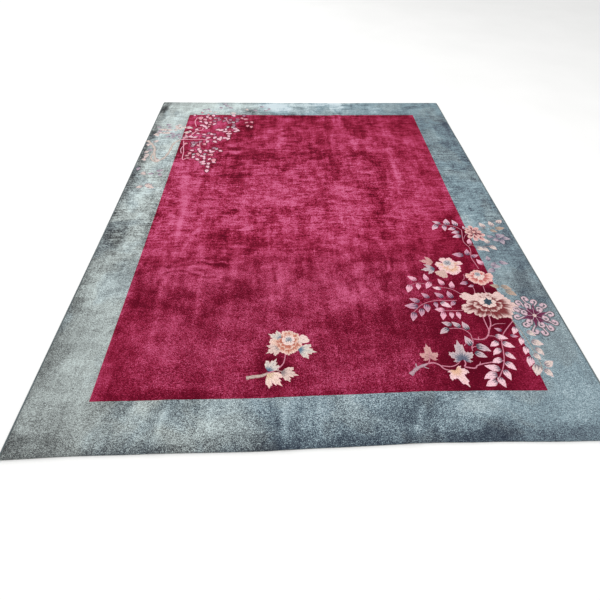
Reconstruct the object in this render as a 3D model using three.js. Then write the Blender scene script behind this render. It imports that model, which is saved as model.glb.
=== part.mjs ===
// A room-size hand-knotted pile rug, lying flat on a floor. It is one woven piece, foundation and pile
// together, with a round overcast cord wrapped along each long side. Millimetres, +Z up, the width
// along X and the length along Y. The origin is the middle of the underside, on the floor.

import * as THREE from "three";

// Driving dimensions
const WIDTH = 2740; // over both side cords
const LENGTH = 3660;
const THICKNESS = 12; // foundation and pile
const RIM_THICKNESS = 8; // where the pile is clipped low along the edges
const RIM_BEVEL = 14; // how far in from the edge the pile reaches its full height
const CORD_DIAMETER = 9;
const CORD_SIDES = 8;
const CORD_STEPS = 48;
const SEAM_GAP = 0.3; // between a side cord and the woven piece

// The grid that carries the ridges
const WIDEST_CELL = 150;
const NARROWEST_CELL = 40;

// How far each edge lies inside the straight rectangle, at shares of the way along it. The near and far
// edges run from left to right, and the left and right edges from near to far.
const NEAR_EDGE = [
  { share: 0.0, inset: 20 },
  { share: 0.11, inset: 25 },
  { share: 0.22, inset: 22 },
  { share: 0.4, inset: 15 },
  { share: 0.5, inset: 19 },
  { share: 0.67, inset: 24 },
  { share: 0.76, inset: 18 },
  { share: 0.9, inset: 6 },
  { share: 1.0, inset: 0 },
];
const FAR_EDGE = [
  { share: 0.0, inset: 0 },
  { share: 0.15, inset: 9 },
  { share: 0.5, inset: 16 },
  { share: 0.62, inset: 19 },
  { share: 0.75, inset: 13 },
  { share: 1.0, inset: 10 },
];
const LEFT_EDGE = [
  { share: 0.0, inset: 0 },
  { share: 0.45, inset: 5 },
  { share: 1.0, inset: 2 },
];
const RIGHT_EDGE = [
  { share: 0.0, inset: 12 },
  { share: 0.5, inset: 12 },
  { share: 0.8, inset: 5 },
  { share: 1.0, inset: 0 },
];

// Low ridges left by folding, where the whole thickness lifts off the floor. x and y are the middle of
// a ridge, turn is its angle from the long axis in degrees, and breadth is its full width.
const RIDGES = [
  { name: "right quarter fold", x: 700, y: 495, turn: 0, length: 1150, breadth: 150, height: 6 },
  { name: "left quarter fold", x: -880, y: -100, turn: 1, length: 1200, breadth: 140, height: 5 },
  { name: "middle left fold", x: -475, y: 490, turn: -1, length: 1000, breadth: 150, height: 4.5 },
  { name: "near middle ripple", x: -185, y: -1690, turn: 4, length: 420, breadth: 120, height: 6 },
  { name: "near left ripple", x: -725, y: -1680, turn: -5, length: 420, breadth: 130, height: 5 },
  { name: "near right ripple", x: 430, y: -1690, turn: -26, length: 440, breadth: 120, height: 7 },
  { name: "far ripple", x: 300, y: 1590, turn: 20, length: 560, breadth: 130, height: 5 },
  { name: "cross fold", x: -720, y: -640, turn: 88, length: 560, breadth: 120, height: 5.5 },
  { name: "lower cross ripple", x: -460, y: -450, turn: 92, length: 300, breadth: 110, height: 4 },
  { name: "upper cross ripple", x: -570, y: 800, turn: 90, length: 380, breadth: 120, height: 5 },
];

const HALF_WIDTH = WIDTH / 2;
const HALF_LENGTH = LENGTH / 2;

// The inset at a share of the way along an edge, eased from one row of its table to the next
function insetAt(rows, share) {
  const next = Math.max(1, rows.findIndex((row) => row.share >= share));
  const [a, b] = [rows[next - 1], rows[next]];
  const t = THREE.MathUtils.smoothstep(share, a.share, b.share);
  return THREE.MathUtils.lerp(a.inset, b.inset, t);
}

// Where a point of the straight rectangle goes when the edges waver
function wavered(x, y) {
  const across = THREE.MathUtils.clamp(x / WIDTH + 0.5, 0, 1);
  const along = THREE.MathUtils.clamp(y / LENGTH + 0.5, 0, 1);
  const left = insetAt(LEFT_EDGE, along);
  const right = insetAt(RIGHT_EDGE, along);
  const near = insetAt(NEAR_EDGE, across);
  const far = insetAt(FAR_EDGE, across);
  return [x + left * (1 - across) - right * across, y + near * (1 - along) - far * along];
}

// How high the rug lifts off the floor at a point: a rounded hump across each ridge, dying away along
// its length. Where two ridges cross, they run into each other and don't add up.
function liftAt(x, y) {
  const lifts = [0];
  for (const ridge of RIDGES) {
    const turn = THREE.MathUtils.degToRad(ridge.turn);
    const dx = x - ridge.x;
    const dy = y - ridge.y;
    const alongRidge = Math.abs(dy * Math.cos(turn) - dx * Math.sin(turn)) / (ridge.length / 2);
    const acrossRidge = Math.abs(dx * Math.cos(turn) + dy * Math.sin(turn)) / (ridge.breadth / 2);
    if (alongRidge >= 1 || acrossRidge >= 1) continue;
    const hump = Math.cos((acrossRidge * Math.PI) / 2) ** 2;
    lifts.push(ridge.height * hump * (1 - THREE.MathUtils.smoothstep(alongRidge, 0.2, 1)));
  }
  return Math.hypot(...lifts);
}

// Grid lines from -half to half: the rim, a few lines over each ridge that crosses, and even cells
// between them
function gridLines(half, ridgeLines) {
  const inner = half - RIM_BEVEL;
  const lines = [-half, -inner];
  const wanted = ridgeLines.filter((at) => Math.abs(at) < inner - NARROWEST_CELL);
  for (const at of [...wanted.sort((a, b) => a - b), inner]) {
    const last = lines.at(-1);
    if (at !== inner && at - last < NARROWEST_CELL) continue;
    const cells = Math.ceil((at - last) / WIDEST_CELL);
    for (let i = 1; i <= cells; i++) lines.push(last + ((at - last) * i) / cells);
  }
  return [...lines, half];
}

// The lines that a ridge asks for along one axis, given how squarely it crosses that axis
function linesOver(ridge, middle, crossing, running) {
  if (crossing < 0.2) return [];
  const reach = (ridge.breadth / 2) * crossing + (ridge.length / 2) * running;
  const cells = Math.max(4, Math.round((2 * reach) / (ridge.breadth / 3)));
  return Array.from({ length: cells + 1 }, (_, i) => middle - reach + (2 * reach * i) / cells);
}

// The woven piece: a box whose grid is spread to the lines above, then lifted and wavered
function wovenPiece() {
  const halfWidth = HALF_WIDTH - CORD_DIAMETER - SEAM_GAP;
  const turns = RIDGES.map((ridge) => Math.abs(Math.sin(THREE.MathUtils.degToRad(ridge.turn))));
  const squares = turns.map((sine) => Math.sqrt(1 - sine ** 2));
  const xLines = gridLines(
    halfWidth,
    RIDGES.flatMap((ridge, i) => linesOver(ridge, ridge.x, squares[i], turns[i])),
  );
  const yLines = gridLines(
    HALF_LENGTH,
    RIDGES.flatMap((ridge, i) => linesOver(ridge, ridge.y, turns[i], squares[i])),
  );
  const columns = xLines.length - 1;
  const rows = yLines.length - 1;
  const geometry = new THREE.BoxGeometry(1, 1, 1, columns, rows, 1);
  const position = geometry.attributes.position;
  for (let i = 0; i < position.count; i++) {
    const column = Math.round((position.getX(i) + 0.5) * columns);
    const row = Math.round((position.getY(i) + 0.5) * rows);
    const onRim = column === 0 || column === columns || row === 0 || row === rows;
    const top = onRim ? RIM_THICKNESS : THICKNESS;
    const [x, y] = wavered(xLines[column], yLines[row]);
    const lift = liftAt(x, y);
    position.setXYZ(i, x, y, position.getZ(i) > 0 ? lift + top : lift);
  }
  geometry.computeVertexNormals();
  return geometry;
}

// The round cord overcast along one long side, from the near edge to the far one
function sideCord(side) {
  const radius = CORD_DIAMETER / 2;
  const geometry = new THREE.CylinderGeometry(radius, radius, 1, CORD_SIDES, CORD_STEPS);
  geometry.rotateY(Math.PI / CORD_SIDES);
  const flat = Math.cos(Math.PI / CORD_SIDES);
  geometry.scale(1 / flat, 1, 1 / flat);
  const position = geometry.attributes.position;
  for (let i = 0; i < position.count; i++) {
    const [x, y] = wavered(side * (HALF_WIDTH - radius), position.getY(i) * LENGTH);
    position.setXYZ(i, x + position.getX(i), y, liftAt(x, y) + radius + position.getZ(i));
  }
  geometry.computeVertexNormals();
  return geometry;
}

function mesh(name, geometry, material) {
  const made = new THREE.Mesh(geometry, material);
  made.name = name;
  return made;
}

const pile = new THREE.MeshStandardMaterial({ color: 0xa63558, roughness: 0.8, metalness: 0 });
const overcasting = new THREE.MeshStandardMaterial({ color: 0x5b6668, roughness: 0.9, metalness: 0 });

const rug = new THREE.Group();
rug.add(mesh("rug", wovenPiece(), pile));
rug.add(mesh("side_cord_left", sideCord(-1), overcasting));
rug.add(mesh("side_cord_right", sideCord(1), overcasting));

export default rug;
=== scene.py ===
# A room-size hand-knotted pile rug, lying on a pale floor. A crimson field lies inside a wide grey-teal
# border, three sprays of flowers are knotted into the pile, and both long sides are overcast.
# Metres, in the frame of the solids: X across, Y away from the near edge, Z up from the floor.

import math

import bpy
import numpy as np
from mathutils import Matrix, Vector


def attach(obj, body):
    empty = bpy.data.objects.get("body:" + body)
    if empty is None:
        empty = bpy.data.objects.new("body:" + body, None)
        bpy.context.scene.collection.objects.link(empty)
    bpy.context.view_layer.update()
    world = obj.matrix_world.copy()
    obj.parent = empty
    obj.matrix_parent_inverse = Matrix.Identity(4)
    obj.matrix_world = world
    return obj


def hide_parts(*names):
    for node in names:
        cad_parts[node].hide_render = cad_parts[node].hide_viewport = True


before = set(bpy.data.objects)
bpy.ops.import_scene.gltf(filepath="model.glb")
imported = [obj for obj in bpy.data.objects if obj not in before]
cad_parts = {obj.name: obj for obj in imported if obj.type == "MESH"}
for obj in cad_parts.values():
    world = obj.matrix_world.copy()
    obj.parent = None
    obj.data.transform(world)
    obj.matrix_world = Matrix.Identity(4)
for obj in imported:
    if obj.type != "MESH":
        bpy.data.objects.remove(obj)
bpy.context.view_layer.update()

MM = 0.001
CM = 0.01

# Driving dimensions, as the solids have them
WIDTH = 2.740
LENGTH = 3.660
THICKNESS = 12 * MM
RIM_THICKNESS = 8 * MM
RIM_BEVEL = 14 * MM
CORD_DIAMETER = 9 * MM
SEAM_GAP = 0.3 * MM
HALF_WIDTH = WIDTH / 2
HALF_LENGTH = LENGTH / 2
HALF_WOVEN = HALF_WIDTH - CORD_DIAMETER - SEAM_GAP

# How far each edge lies inside the straight rectangle: the share of the way along it, and millimetres
NEAR_EDGE = (
    (0.0, 20), (0.11, 25), (0.22, 22), (0.4, 15), (0.5, 19), (0.67, 24), (0.76, 18), (0.9, 6), (1.0, 0),
)
FAR_EDGE = ((0.0, 0), (0.15, 9), (0.5, 16), (0.62, 19), (0.75, 13), (1.0, 10))
LEFT_EDGE = ((0.0, 0), (0.45, 5), (1.0, 2))
RIGHT_EDGE = ((0.0, 12), (0.5, 12), (0.8, 5), (1.0, 0))

# Low ridges left by folding: x, y, turn from the long axis in degrees, length, breadth, height
RIDGES = (
    (0.700, 0.495, 0, 1.15, 0.15, 6 * MM),
    (-0.880, -0.100, 1, 1.20, 0.14, 5 * MM),
    (-0.475, 0.490, -1, 1.00, 0.15, 4.5 * MM),
    (-0.185, -1.690, 4, 0.42, 0.12, 6 * MM),
    (-0.725, -1.680, -5, 0.42, 0.13, 5 * MM),
    (0.430, -1.690, -26, 0.44, 0.12, 7 * MM),
    (0.300, 1.590, 20, 0.56, 0.13, 5 * MM),
    (-0.720, -0.640, 88, 0.56, 0.12, 5.5 * MM),
    (-0.460, -0.450, 92, 0.30, 0.11, 4 * MM),
    (-0.570, 0.800, 90, 0.38, 0.12, 5 * MM),
)
# Each ridge's crest is painted lighter, a painted highlight, and its sides darker, painted shade
RIDGE_SHEEN = 0.22  # how much a ridge changes the pile's lightness

# The field, in the straight rectangle. Its right edge leans outward in its near part.
FIELD_LEFT = -1.073
FIELD_RIGHT = 1.063
FIELD_NEAR = -1.573
FIELD_FAR = 1.538
LEAN = 0.024
LEAN_STARTS = -0.3
LEAN_LENGTH = 1.3
LEAN_REACH = 0.25

# The pile and what it is knotted on
PILE_CELL = 8.8 * MM
PILE_FOOT = 2.52 * MM
BACK_CELL = 30 * MM
BACK_THICKNESS = 3.6 * MM
BACK_INSET = 0.6 * MM
GROOVE_DEPTH = 2.4 * MM
GROOVE_REACH = 7 * MM
GROOVE_LINES = np.array([0.0, 1.5, 3.5, 7.0]) * MM
RIM_LINES = np.array([0.0, 0.0, 1.0, 3.0, 7.0, 14.0]) * MM
NOISE_CELLS = 256

# The pile's grain, and where the border starts to turn cooler and darker and how far that takes. The
# border's lighter, greyer left side is painted sheen.
FINE_GRAIN = 2.9
COARSE_GRAIN = 1.7
BORDER_GRAIN = 1.05
RESTLESSNESS = 1.15
COOL_STARTS = -1.15
COOL_WIDTH = 1.3

# The overcast cords. The yarn slants by a share of one turn on its way round, and CORD_END is how far
# from its end a cord starts to round off.
TURN_PITCH = 6 * MM
STEPS_PER_TURN = 5
CORD_SIDES = 10
CORD_END = 3 * MM
YARN_DEPTH = 0.14
YARN_SLANT = 0.6

# Where the pile is painted lighter (above 0) or darker (below 0) than its neighbours: painted sheen and
# shade of its lay, painted shade and highlight along creases, and a few stains. x, y, half width and half
# length in centimetres, strength in hundredths, and the turn in degrees of those that are turned
FIELD_PATCHES = (
    (0, 20, 100, 60, 4), (-10, -125, 120, 40, -11), (86, -105, 30, 56, -28), (98, -98, 14, 16, -34),
    (72, -141, 13, 7, -16), (-22, -130, 10, 12, -12), (5, -110, 6, 6, -14), (-60, -154, 12, 4, -10),
    (-100, 150, 5, 16, 8), (-76, 136, 7, 10, 14), (-24, -134, 10, 14, -16), (-55, -62, 5, 5, -14),
    (104, -34, 5, 8, -20), (50, 55, 6, 6, -20), (-40, -20, 6, 6, -20), (-78, -156, 26, 5, -18),
    (-22, -142, 16, 10, -14), (-50, 160, 40, 8, 10), (80, -66, 8, 8, -14), (100, -28, 8, 16, -14),
    (97, -42, 12, 24, -14), (62, -130, 12, 28, -14), (74, -144, 20, 12, -18), (-55, 115, 8, 20, -16),
    (-10, 102, 10, 8, -14), (0, 130, 90, 8, -8), (55, 40, 10, 8, -14), (34, 24, 6, 8, 16),
    (44, -60, 12, 12, -18), (-72, -94, 14, 7, -14), (-86, -18, 13, 22, 20), (-90, 28, 9, 24, 18),
    (-100, 55, 6, 20, 16), (-88, -72, 1.2, 30, 16, 2), (-66, -2, 10, 7, 16), (-26, -20, 22, 12, 14),
    (-15, 22, 45, 24, 6), (21, -30, 6, 28, 18), (20, 10, 6, 7, 16), (18, -93, 18, 7, 18, 5),
    (-14, -93, 10, 6, 8), (-82, -125, 14, 14, 12), (-50, -126, 7, 8, 6), (-20, 120, 5, 24, 14),
    (-40, 108, 5, 14, 12), (33, 135, 5, 14, 12), (62, 95, 30, 26, 6), (78, 25, 14, 30, 6),
    (71, 55, 0.8, 52, 18), (-60, 77.5, 9, 2, 34), (-60, 93, 5, 5, 14), (-83, 30, 2.5, 16, 14),
    (-74, 130, 5, 10, 14), (44, -95, 0.7, 26, 14, -3), (-56, 85, 10, 2.6, -26, -8), (0, 72, 78, 7, -18),
    (-56, 48, 12, 16, -20), (-42, 132, 12, 16, -16), (4, 86, 10, 10, -16), (3, 145, 14, 5, -14),
    (93, 130, 12, 20, -16), (62, 142, 14, 8, -12), (-103, 95, 5, 16, -18), (-55, -6, 5, 4, -34),
    (-63, -33, 9, 5, -26), (-40, -40, 9, 8, -24), (-52, -60, 16, 6, -20), (-48, -84, 15, 11, -28),
    (-88, -90, 16, 8, -24, 10), (-92, -62, 10, 5, -10, 10), (50, -18, 6, 44, -18), (44, -80, 16, 8, -18),
    (4, -70, 12, 6, -12), (60, -50, 10, 10, -14), (28, -110, 26, 9, -16, 5), (44, -105, 10, 20, -12),
    (8, -130, 14, 10, -10), (38, -125, 14, 8, -14), (-57, -108, 7, 16, -16, 5), (-102, -110, 6, 50, -14),
    (-70, -142, 20, 6, -10), (0, -156, 105, 4, -16), (0, 151, 100, 4, -14), (-70, 66, 34, 0.7, -16),
    (-75, 55, 30, 0.7, -16), (-68, 44, 36, 0.7, -16), (-66, -59.5, 26, 0.8, 26, 3),
    (-66, -62, 26, 0.8, -24, 3), (-74, -69, 20, 0.7, 20, -16), (-74, -71, 20, 0.7, -20, -16),
    (-44, -25, 10, 0.7, 30, 8), (-44, -27.2, 10, 0.8, -26, 8), (43.5, -66, 0.7, 9, 30, -14),
    (46, -66, 0.8, 9, -20, -14),
)
BORDER_PATCHES = (
    (-117, 100, 13, 80, 28), (-130, 95, 5, 35, -10), (-129, -5, 4, 5, -14), (-98, -158, 12, 5, -16),
    (-25, -170, 10, 6, -14), (-70, -160, 10, 4, -8), (-34, 175, 16, 6, 26), (16, 178, 26, 6, 12),
    (127, 125, 8, 40, -10), (-62, -180, 44, 4, -12), (90, -178, 36, 5, -12), (130, -55, 6, 24, -8),
    (-117, 10, 12, 28, 14), (-118, -100, 13, 50, 12), (-136, 0, 5, 190, -12), (-126, -32, 6, 16, -20),
    (-133, 112, 2.5, 10, -26), (-130, 170, 3.5, 9, -26, -8), (-128, 162, 2, 16, -20, -8),
    (-134, 48, 3, 10, -20), (-135, -20, 3, 20, -12), (-124, 30, 3, 10, -12), (-119, 62, 0.5, 40, -14, 1),
    (-122, 166, 14, 14, -22), (-117, 48, 12, 14, -14), (-132, 88, 5, 12, -14), (-131, -110, 6, 34, -12),
    (-130, -176, 16, 7, -20), (-90, 168, 34, 16, 36), (-25, 171, 12, 14, 44), (-50, 160, 6, 6, -14),
    (-70, 172, 4, 5, -10), (14, 179, 36, 5, 20), (12, 167, 30, 12, 16), (-55, 174, 14, 8, 12),
    (126, 160, 10, 10, 8), (35, 172, 6, 9, 34), (76, 170, 16, 12, 12), (112, 171, 8, 4, -18),
    (120, 70, 20, 110, -5), (126, 80, 16, 20, -8), (122, 120, 10, 16, 10), (131, -32, 5, 16, -14),
    (127, -84, 12, 26, -8), (116, -108, 14, 18, -6), (136, 60, 5, 130, -6), (131, 130, 5, 10, -14),
    (112, -20, 6, 16, 10), (117, -52, 12, 10, -10), (126, -93, 9, 7, -12), (112, -114, 5, 12, 10),
    (122, -162, 14, 14, 8), (0, -185, 150, 9, -20), (22, -184, 50, 16, -24), (-88, -163, 5, 7, 18),
    (-50, -166, 7, 8, 8), (-25, -164, 7, 8, -10), (-26, -179, 10, 6, -22), (0, -179, 7, 6, 12),
    (50, -164, 8, 6, -8), (34, -164, 13, 7, -18), (76, -162, 11, 6, 14), (76, -176, 8, 5, -18),
    (-12, -172, 3, 10, -10, 4),
)


# Working out places

def eased(share):
    """From 0 to 1 with a level start and end."""
    share = np.clip(share, 0.0, 1.0)
    return share * share * (3.0 - 2.0 * share)


def inset_at(rows, share):
    """How far an edge lies inside the straight rectangle, at a share of the way along it."""
    shares, insets = np.array(rows).T
    after = np.clip(np.searchsorted(shares, share), 1, len(rows) - 1)
    part = (share - shares[after - 1]) / (shares[after] - shares[after - 1])
    return (insets[after - 1] + (insets[after] - insets[after - 1]) * eased(part)) * MM


def wavered(x, y):
    """Where a point of the straight rectangle goes when the edges waver."""
    across = np.clip(x / WIDTH + 0.5, 0.0, 1.0)
    along = np.clip(y / LENGTH + 0.5, 0.0, 1.0)
    beside_field = np.clip(1.0 - np.abs(x - FIELD_RIGHT) / LEAN_REACH, 0.0, 1.0)
    leaning = LEAN * beside_field * eased((LEAN_STARTS - y) / LEAN_LENGTH)
    sideways = inset_at(LEFT_EDGE, along) * (1 - across) - inset_at(RIGHT_EDGE, along) * across
    lengthways = inset_at(NEAR_EDGE, across) * (1 - along) - inset_at(FAR_EDGE, across) * along
    return x + leaning + sideways, y + lengthways


def from_middle(x, y, middle_x, middle_y, turn):
    """How far across and along a turned shape a point lies from its middle."""
    turn = math.radians(turn)
    dx = x - middle_x
    dy = y - middle_y
    return dx * math.cos(turn) + dy * math.sin(turn), dy * math.cos(turn) - dx * math.sin(turn)


def ridge_hump(ridge, x, y):
    """A ridge's rounded hump at a point: 1 at its crest, and 0 beside it and past its ends."""
    middle_x, middle_y, turn, length, breadth, _height = ridge
    across, along = from_middle(x, y, middle_x, middle_y, turn)
    hump = np.cos(np.clip(np.abs(across) / (breadth / 2), 0.0, 1.0) * math.pi / 2) ** 2
    return hump * (1.0 - eased((np.abs(along) / (length / 2) - 0.2) / 0.8))


def lift_at(x, y):
    """How high the rug lifts off the floor at a point."""
    return np.sqrt(sum((ridge[-1] * ridge_hump(ridge, x, y)) ** 2 for ridge in RIDGES))


def soft_noise(x, y, cell, seed):
    """Smooth noise from -1 to 1 that changes over about one cell."""
    table = np.random.default_rng(seed).uniform(-1.0, 1.0, (NOISE_CELLS, NOISE_CELLS))
    column = np.floor(x / cell).astype(int)
    row = np.floor(y / cell).astype(int)
    across = eased(x / cell - column)
    along = eased(y / cell - row)

    def value_in(number):
        here = table[number % NOISE_CELLS, column % NOISE_CELLS]
        beside = table[number % NOISE_CELLS, (column + 1) % NOISE_CELLS]
        return here * (1 - across) + beside * across

    return value_in(row) * (1 - along) + value_in(row + 1) * along


def pile_top(x, y):
    """The height of the pile's tips, with their slight unevenness."""
    uneven = 0.35 * MM * soft_noise(x, y, 0.04, 3) + 0.6 * MM * soft_noise(x, y, 0.15, 4)
    return lift_at(x, y) + THICKNESS + uneven


def lightness(patches, x, y):
    """Painted sheen and shade of the pile at a point, from the patches, and painted highlight and shade of
    the fold ridges.
    """
    warped_x = x + 0.04 * soft_noise(x, y, 0.16, 11) + 0.02 * soft_noise(x, y, 0.05, 12)
    warped_y = y + 0.03 * soft_noise(x, y, 0.14, 13) + 0.015 * soft_noise(x, y, 0.04, 14)
    total = np.zeros(np.shape(x))
    for patch in patches:
        middle_x, middle_y, half_width, half_length, strength, turn = (*patch, 0)[:6]
        across, along = from_middle(warped_x, warped_y, middle_x * CM, middle_y * CM, turn)
        reach = np.hypot(across / (half_width * CM), along / (half_length * CM))
        total += strength / 100 * (1.0 - eased(reach - 0.5))
    # A painted highlight along each ridge's crest and painted shade on its sides
    for ridge in RIDGES:
        hump = ridge_hump(ridge, x, y)
        total += RIDGE_SHEEN * (hump**8 - hump * (1 - hump))
    return total


# Making meshes

def linear(colour):
    """An sRGB colour of three bytes as linear values."""
    shares = np.array(colour, dtype=float) / 255.0
    return np.where(shares <= 0.04045, shares / 12.92, ((shares + 0.055) / 1.055) ** 2.4)


def new_piece(name, points, faces, materials, face_materials=None, smooth=True):
    """A piece that rides on the rug's one body."""
    mesh = bpy.data.meshes.new(name)
    mesh.from_pydata(points.tolist(), [], faces.tolist())
    for material in materials:
        mesh.materials.append(material)
    if face_materials is not None:
        mesh.polygons.foreach_set("material_index", face_materials.astype(np.int32))
    mesh.polygons.foreach_set("use_smooth", np.full(len(faces), smooth))
    mesh.update()
    piece = bpy.data.objects.new(name, mesh)
    bpy.context.scene.collection.objects.link(piece)
    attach(piece, "root")
    return piece


def as_points(x, y, z):
    return np.stack([x.ravel(), y.ravel(), z.ravel()], axis=1)


def set_values(piece, name, values):
    """Gives each point of a piece a value that its material reads by name."""
    layer = piece.data.attributes.new(name, "FLOAT", "POINT")
    layer.data.foreach_set("value", values.astype(np.float32).ravel())


def set_grain(piece, x, y, strength=1.0):
    """Gives a pile its grain, which shows coarser towards the far end."""
    near = eased((-0.10 - y) / 0.8)
    smooth_side = eased((x - 0.35) / 0.7)
    even_corner = eased((-x - 0.6) / 0.6) * eased((-y - 0.6) / 0.6)
    calmer = (1.0 - 0.45 * eased((y - 0.5) / 1.0)) * (1.0 - 0.3 * smooth_side)
    clearer = (1.0 - 0.4 * smooth_side) * (1.0 - 0.38 * even_corner)
    settled = 0.45 * eased((-y - 0.75) / 0.5)
    set_values(piece, "fine", strength * FINE_GRAIN * near**0.8 * clearer)
    set_values(piece, "coarse", strength * COARSE_GRAIN * (1.0 - near) ** 0.8 * calmer)
    set_values(piece, "restless", RESTLESSNESS - settled - 0.4 * smooth_side)


def grid_faces(rows, columns):
    """The quads of a grid of points that runs row by row."""
    start = (np.arange(rows - 1)[:, None] * columns + np.arange(columns - 1)[None, :]).ravel()
    return np.stack([start, start + 1, start + columns + 1, start + columns], axis=1)


def in_field(faces, straight_x, straight_y):
    """Which faces of a grid lie in the field."""
    x = straight_x.ravel()[faces].mean(axis=1)
    y = straight_y.ravel()[faces].mean(axis=1)
    return (x > FIELD_LEFT) & (x < FIELD_RIGHT) & (y > FIELD_NEAR) & (y < FIELD_FAR)


def even_lines(start, stop, cell):
    count = max(1, math.ceil((stop - start) / cell))
    return np.linspace(start, stop, count + 1)


def field_lines(low, high):
    """Grid lines across the field, closer together beside its edges."""
    middle = even_lines(low + GROOVE_LINES[-1], high - GROOVE_LINES[-1], PILE_CELL)
    return np.concatenate([low + GROOVE_LINES, middle[1:-1], (high - GROOVE_LINES)[::-1]])


def all_lines(half, low, high):
    """Grid lines across the whole rug. The first and the last are the foot of the pile's outer face."""
    before = even_lines(-half + RIM_LINES[-1], low - GROOVE_LINES[-1], PILE_CELL)
    after = even_lines(high + GROOVE_LINES[-1], half - RIM_LINES[-1], PILE_CELL)
    left = [-half + RIM_LINES, before[1:-1], (low - GROOVE_LINES)[::-1]]
    right = [high + GROOVE_LINES, after[1:-1], (half - RIM_LINES)[::-1]]
    return np.concatenate([*left, field_lines(low, high)[1:-1], *right])


def back_lines(half, low, high):
    """Grid lines across the foundation, with one along each edge of the field."""
    spans = ((-half, low), (low, high), (high, half))
    return np.unique(np.concatenate([even_lines(*span, BACK_CELL) for span in spans]))


def pile_heights(straight_x, straight_y, x, y):
    """The pile's height: clipped round along the rug's edges and carved along the field's edge."""
    edge = np.minimum(HALF_WOVEN - np.abs(straight_x), HALF_LENGTH - np.abs(straight_y))
    left_right = np.maximum(FIELD_LEFT - straight_x, straight_x - FIELD_RIGHT)
    near_far = np.maximum(FIELD_NEAR - straight_y, straight_y - FIELD_FAR)
    to_field = np.abs(np.maximum(left_right, near_far))
    inward = np.clip(1.0 - edge / RIM_BEVEL, 0.0, 1.0)
    drop = (THICKNESS - RIM_THICKNESS) * (1.0 - np.sqrt(1.0 - inward**2))
    groove = GROOVE_DEPTH * (1.0 - eased(to_field / GROOVE_REACH))
    return pile_top(x, y) - drop - groove


def field_pile(material):
    straight = np.meshgrid(field_lines(FIELD_LEFT, FIELD_RIGHT), field_lines(FIELD_NEAR, FIELD_FAR))
    x, y = wavered(*straight)
    points = as_points(x, y, pile_heights(*straight, x, y))
    piece = new_piece("field_pile", points, grid_faces(*x.shape), [material])
    # The painted sheen and shade of the pile's lay and creases, and of the fold ridges
    set_values(piece, "light", lightness(FIELD_PATCHES, x, y))
    set_grain(piece, x, y)
    return piece


def border_pile(material):
    x_lines = all_lines(HALF_WOVEN, FIELD_LEFT, FIELD_RIGHT)
    straight = np.meshgrid(x_lines, all_lines(HALF_LENGTH, FIELD_NEAR, FIELD_FAR))
    x, y = wavered(*straight)
    z = pile_heights(*straight, x, y)
    foot = lift_at(x, y) + PILE_FOOT
    z[[0, -1]] = foot[[0, -1]]
    z[:, [0, -1]] = foot[:, [0, -1]]
    faces = grid_faces(*x.shape)
    faces = faces[~in_field(faces, *straight)]
    used, places = np.unique(faces, return_inverse=True)
    points = as_points(x, y, z)[used]
    piece = new_piece("border_pile", points, places.reshape(faces.shape), [material])
    x = x.ravel()[used]
    y = y.ravel()[used]
    # The painted sheen and shade of the pile's lay and creases, and of the fold ridges
    set_values(piece, "light", lightness(BORDER_PATCHES, x, y))
    # Painted sheen: the border is lighter and greyer on the left, cooler and darker towards the right
    set_values(piece, "cool", eased((x - COOL_STARTS) / COOL_WIDTH))
    set_grain(piece, x, y, strength=BORDER_GRAIN)
    return piece


def woven_back(crimson, teal):
    """The knotted foundation: a thin closed slab, whose underside shows the field and the border."""
    x_lines = back_lines(HALF_WOVEN - BACK_INSET, FIELD_LEFT, FIELD_RIGHT)
    straight = np.meshgrid(x_lines, back_lines(HALF_LENGTH - BACK_INSET, FIELD_NEAR, FIELD_FAR))
    x, y = wavered(*straight)
    under = as_points(x, y, lift_at(x, y))
    over = under + np.array([0.0, 0.0, BACK_THICKNESS])
    count = len(under)
    faces = grid_faces(*x.shape)
    places = np.arange(count).reshape(x.shape)
    ring = np.concatenate([places[0, :-1], places[:-1, -1], places[-1, :0:-1], places[:0:-1, 0]])
    onward = np.roll(ring, -1)
    sides = np.stack([ring, onward, onward + count, ring + count], axis=1)
    outside = np.where(in_field(faces, *straight), 0, 1)
    face_materials = np.concatenate([outside, outside, np.ones(len(sides))])
    all_faces = np.concatenate([faces[:, ::-1], faces + count, sides])
    points = np.concatenate([under, over])
    return new_piece("woven_back", points, all_faces, [crimson, teal], face_materials, smooth=False)


def side_cord(name, side, material):
    """The round cord along one long side, overcast with yarn, so that each turn stands out."""
    steps = int(LENGTH / TURN_PITCH) * STEPS_PER_TURN
    radius = CORD_DIAMETER / 2
    angles = np.arange(CORD_SIDES) / CORD_SIDES * 2 * math.pi
    angle, straight_y = np.meshgrid(angles, np.linspace(-HALF_LENGTH, HALF_LENGTH, steps + 1))
    turns = straight_y / TURN_PITCH + angle / (2 * math.pi) * YARN_SLANT
    round_of = radius * (1.0 - YARN_DEPTH + YARN_DEPTH * np.sqrt(np.abs(np.sin(turns * math.pi))))
    ends = np.minimum(1.0, (HALF_LENGTH - np.abs(straight_y)) / CORD_END)
    round_of = round_of * np.sqrt(1.0 - (1.0 - ends) ** 2)
    x, y = wavered(np.full(straight_y.shape, side * (HALF_WIDTH - radius)), straight_y)
    z = lift_at(x, y) + radius + round_of * np.sin(angle)
    step = np.arange(steps)[:, None] * CORD_SIDES
    place = np.arange(CORD_SIDES)[None, :]
    onward = (place + 1) % CORD_SIDES
    corners = [step + place, step + onward, step + CORD_SIDES + onward, step + CORD_SIDES + place]
    quads = np.stack(corners, axis=2).reshape(-1, 4)[:, ::-1]
    return new_piece(name, as_points(x + round_of * np.cos(angle), y, z), quads, [material])


# Materials

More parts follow.
